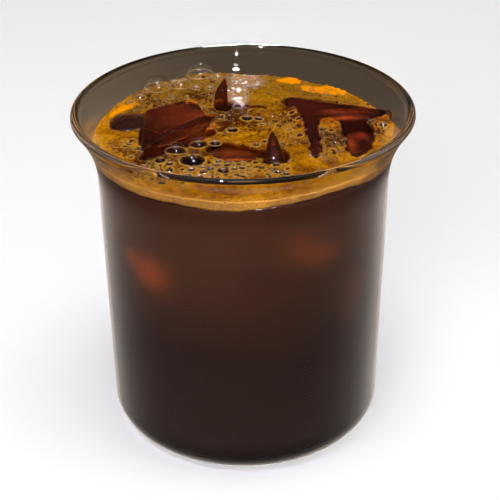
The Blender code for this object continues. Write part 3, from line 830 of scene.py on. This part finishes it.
# Ice: clear blocks with melted edges that stand a few millimetres out of the coffee, the left one
# with a rounded ridge along its front edge. Each is a cube bent to its eight corners, which are
# given in mm from the front left round to the back left.
ICE_LEFT_TOP = ((-27.4, -12.6, 87.5), (-8.2, 5.6, 88.2), (-13.4, 21.6, 88.4), (-27.4, 15.0, 87.9))
ICE_LEFT_BOTTOM = ((-23.0, -9.0, 66.0), (-8.6, 3.6, 67.0), (-13.0, 18.0, 66.5), (-25.0, 12.0, 65.5))
ICE_RIGHT_TOP = ((17.6, -13.6, 85.9), (31.8, -12.2, 85.9), (42.2, 7.5, 90.3), (11.2, 23.8, 88.3))
ICE_RIGHT_BOTTOM = ((9.5, -13.0, 63.0), (19.0, -12.0, 63.5), (27.0, 3.0, 64.0), (4.5, 16.0, 63.5))
ICE_CUTS = 28
EDGE_SHARE = 0.16
MELT = 0.12
RIDGE_FROM = Vector((-25.2, -11.2, 88.0))
RIDGE_TO = Vector((-6.6, 6.4, 89.3))
RIDGE_RADIUS = 1.9
RIDGE_BLUNTNESS = 0.45

# Clear ice, melting in the drink: see-through, brown from the coffee behind it, with wet glints on
# its smooth, rounded edges.
clear_ice, tree, shader = new_material("clear_ice")
shader.inputs["Base Color"].default_value = linear("d8bfae")
shader.inputs["Roughness"].default_value = 0.03
shader.inputs["IOR"].default_value = 1.31
shader.inputs["Transmission Weight"].default_value = 1.0


def ice_block(name, top, bottom):
    """A cube with rounded edges, bent to eight corners and melted a little uneven."""
    bpy.ops.object.select_all(action="DESELECT")
    bpy.ops.mesh.primitive_cube_add(size=2.0, location=(0, 0, 0))
    block = bpy.context.object
    block.name = name
    bpy.ops.object.mode_set(mode="EDIT")
    bpy.ops.mesh.select_all(action="SELECT")
    bpy.ops.mesh.subdivide(number_cuts=ICE_CUTS)
    bpy.ops.object.mode_set(mode="OBJECT")
    cube = points_of(block)
    core = np.clip(cube, -(1 - EDGE_SHARE), 1 - EDGE_SHARE)
    out = cube - core
    cube = core + EDGE_SHARE * out / np.linalg.norm(out, axis=1)[:, None]
    u, v, w = (cube.T + 1) / 2
    shaped = np.zeros(cube.shape)
    for corners, share in ((top, w), (bottom, 1 - w)):
        weights = ((1 - u) * (1 - v), u * (1 - v), u * v, (1 - u) * v)
        for corner, weight in zip(corners, weights):
            shaped += (share * weight)[:, None] * np.array(corner)
    shaped[:, 2] += MELT * ripples(shaped[:, 0], shaped[:, 1], 9, 21) * w
    move_points(block, shaped * MM)
    block.data.shade_smooth()
    return block


left_block = ice_block("ice_left_cube", ICE_LEFT_TOP, ICE_LEFT_BOTTOM)
ridge_way = RIDGE_TO - RIDGE_FROM
ridge_length = ridge_way.length
ridge_profile = [(0.0, 0.0)]
ridge_profile += [(RIDGE_RADIUS * MM * math.sin(math.pi * s) ** RIDGE_BLUNTNESS,
                   ridge_length * MM * s) for s in np.linspace(0.01, 0.99, 40)]
ridge_profile += [(0.0, ridge_length * MM)]
ridge = lathe("ridge", ridge_profile, 32)
ridge.data.transform(ridge_way.to_track_quat("Z", "Y").to_matrix().to_4x4())
ridge.data.transform(Matrix.Translation(RIDGE_FROM * MM))
bpy.ops.object.select_all(action="DESELECT")
bpy.context.view_layer.objects.active = left_block
fused = left_block.modifiers.new("ridge", "BOOLEAN")
fused.operation = "UNION"
fused.object = ridge
bpy.ops.object.modifier_apply(modifier="ridge")
bpy.data.objects.remove(ridge)
left_block.data.shade_smooth()
right_block = ice_block("ice_right_cube", ICE_RIGHT_TOP, ICE_RIGHT_BOTTOM)
for block, node in ((left_block, "ice_left"), (right_block, "ice_right")):
    finish(block, clear_ice, "ice", node)
    block.visible_shadow = False


# Ice tips: two thin shards that stand up through the foam, stained by the coffee that wets them.
# Each is turned as a slim teardrop, flattened, leant over and bent at its point.
TIP_STEPS = 40
TIP_UNEVENNESS = 0.05
# For each: its point in mm, the way it runs down from there, its length and half sizes in mm, and
# how far its point hooks to one side.
TIPS = {
    "ice_tip_front": ((8.2, -9.2, 91.6), (0.0, -0.62, -0.78), 24.0, (3.8, 4.1), -0.6),
    "ice_tip_back": ((-5.8, 24.0, 92.8), (-0.06, -0.36, -0.93), 9.6, (2.0, 1.6), 0.9),
}
# Ice wetted by coffee: dark red-brown, a little see-through at its thin edges, and shining wet.
stained_ice, tree, shader = new_material("coffee_stained_ice")
shader.inputs["Base Color"].default_value = linear("5a2a14")
shader.inputs["Roughness"].default_value = 0.05
shader.inputs["IOR"].default_value = 1.31
shader.inputs["Transmission Weight"].default_value = 0.85
for node, (point, lean, length, (half_x, half_y), hook) in TIPS.items():
    shape = [(0.0, 0.0)]
    shape += [(math.sin(0.5 * math.pi * min(1.0, 1.5 * s)) ** 0.8 * MM, s * length * MM)
              for s in np.linspace(0.02, 0.98, TIP_STEPS)]
    shape += [(0.0, length * MM)]
    tip = lathe(node + "_shard", shape, TIP_STEPS)
    shard = points_of(tip)
    share = shard[:, 2] / (length * MM)
    shard[:, 0] = shard[:, 0] * half_x + hook * MM * (1 - np.clip(share / 0.5, 0, 1)) ** 2
    shard[:, 1] = shard[:, 1] * half_y
    melted = TIP_UNEVENNESS * ripples(shard[:, 2] / MM, shard[:, 0] / MM, 5, 31)
    shard[:, 0:2] *= (1 + melted)[:, None]
    move_points(tip, shard)
    tip.data.transform(Vector(lean).to_track_quat("Z", "Y").to_matrix().to_4x4())
    tip.data.transform(Matrix.Translation(Vector(point) * MM))
    finish(tip, stained_ice, "ice", node)
    tip.visible_shadow = False


# Stage: a plain pale floor, soft light from all sides, and a card round the glass that only the
# glass and the wet surfaces see. It is dark below and bright overhead, like a dim room with a lamp.
FLOOR_SIZE = 20.0
CARD_RADIUS = 0.30
CARD_HALF = 0.90
# Low down on its left the card is brighter, by up to this share between these places.
CARD_EXTRA = 0.9
CARD_LEFT = (-0.075, -0.015)
CARD_LOW = (0.02, 0.10)
SKY_STRENGTH = 0.65
DRINK_PLACE = (0.0, 0.0, 0.07)

bpy.ops.object.select_all(action="DESELECT")
bpy.ops.mesh.primitive_plane_add(size=FLOOR_SIZE, location=(0, 0, 0))
floor = bpy.context.object
floor.name = "floor"
# Uncoated paper: even and matt, so that it shows soft light alone.
paper, tree, shader = new_material("pale_paper")
shader.inputs["Base Color"].default_value = linear("e6e6e6")
shader.inputs["Roughness"].default_value = 0.9
floor.data.materials.append(paper)
floor.visible_glossy = False
floor.visible_transmission = False

bpy.ops.mesh.primitive_cylinder_add(vertices=64, radius=CARD_RADIUS, depth=2 * CARD_HALF,
                                    end_fill_type="TRIFAN", location=(0, 0, 0.0))
card = bpy.context.object
card.name = "dark_card"
# Matt black paint that glows in bands, so that all it gives is its reflection.
card_paint, tree, shader = new_material("dark_card_paint")
place = add_node(tree, "TexCoord").outputs["Object"]
card_place = add_node(tree, "SeparateXYZ", i0=place)
card_share = add_node(tree, "MapRange", i0=card_place.outputs["Z"], From_Min=-CARD_HALF,
                      From_Max=CARD_HALF)
card_tone = add_node(tree, "ValToRGB", i0=card_share.outputs[0])
stops = card_tone.color_ramp.elements
stops[0].position, stops[0].color = 0.42, linear("0c0805")
stops[1].position, stops[1].color = 0.93, linear("b4aca4")
stops.new(0.465).color = linear("54493c")
stops.new(0.52).color = linear("4c4236")
stops.new(0.58).color = linear("2c2620")
stops.new(0.78).color = linear("3c342c")
tree.links.new(card_tone.outputs["Color"], shader.inputs["Emission Color"])
card_left = add_node(tree, "MapRange", i0=card_place.outputs["X"], From_Min=CARD_LEFT[0],
                     From_Max=CARD_LEFT[1], To_Min=CARD_EXTRA, To_Max=0.0)
card_low = add_node(tree, "MapRange", i0=card_place.outputs["Z"], From_Min=CARD_LOW[0],
                    From_Max=CARD_LOW[1], To_Min=1.0, To_Max=0.0)
card_light = add_node(tree, "Math", MULTIPLY_ADD, i0=card_left.outputs[0],
                      i1=card_low.outputs[0], i2=1.0)
tree.links.new(card_light.outputs[0], shader.inputs["Emission Strength"])
shader.inputs["Base Color"].default_value = (0, 0, 0, 1)
shader.inputs["Roughness"].default_value = 1.0
shader.inputs["Specular IOR Level"].default_value = 0.0
card.data.materials.append(card_paint)
card.visible_camera = False
card.visible_diffuse = False
card.visible_shadow = False

world = bpy.context.scene.world or bpy.data.worlds.new("world")
bpy.context.scene.world = world
world.use_nodes = True
world.node_tree.nodes["Background"].inputs["Color"].default_value = (1, 1, 1, 1)
world.node_tree.nodes["Background"].inputs["Strength"].default_value = SKY_STRENGTH
world.cycles_visibility.glossy = False
world.cycles_visibility.transmission = False


def soft_light(name, place, size, power, mirrored=False, aim=DRINK_PLACE, beam=180.0,
               tint="ffffff"):
    """A round lamp aimed at the drink; a mirrored one shows only as glints on wet surfaces."""
    light = bpy.data.lights.new(name, "AREA")
    light.shape = "DISK"
    light.size = size
    light.energy = power
    light.color = linear(tint)[:3]
    light.spread = math.radians(beam)
    lamp = bpy.data.objects.new(name, light)
    lamp.location = place
    lamp.rotation_euler = (Vector(aim) - Vector(place)).to_track_quat("-Z", "Y").to_euler()
    lamp.visible_diffuse = not mirrored
    lamp.visible_glossy = mirrored
    lamp.visible_transmission = mirrored
    light.cycles.use_multiple_importance_sampling = mirrored
    bpy.context.scene.collection.objects.link(lamp)


soft_light("overhead", place=(0.1, -0.15, 0.9), size=0.6, power=4.0)
soft_light("front", place=(-0.3, -0.9, 0.5), size=0.5, power=6.5)
soft_light("glint", place=(0.023, -0.219, 0.262), size=0.014, power=1.7, mirrored=True)
soft_light("left_glint", place=(-0.05, -0.10, 0.42), size=0.018, power=2.4, mirrored=True,
           tint="e6d2ff")
soft_light("back_glint", place=(-0.004, 0.24, 0.25), size=0.02, power=0.0007, mirrored=True,
           aim=(-0.002, 0.029, 0.087), beam=3.5)

bpy.context.scene.view_settings.view_transform = "Standard"
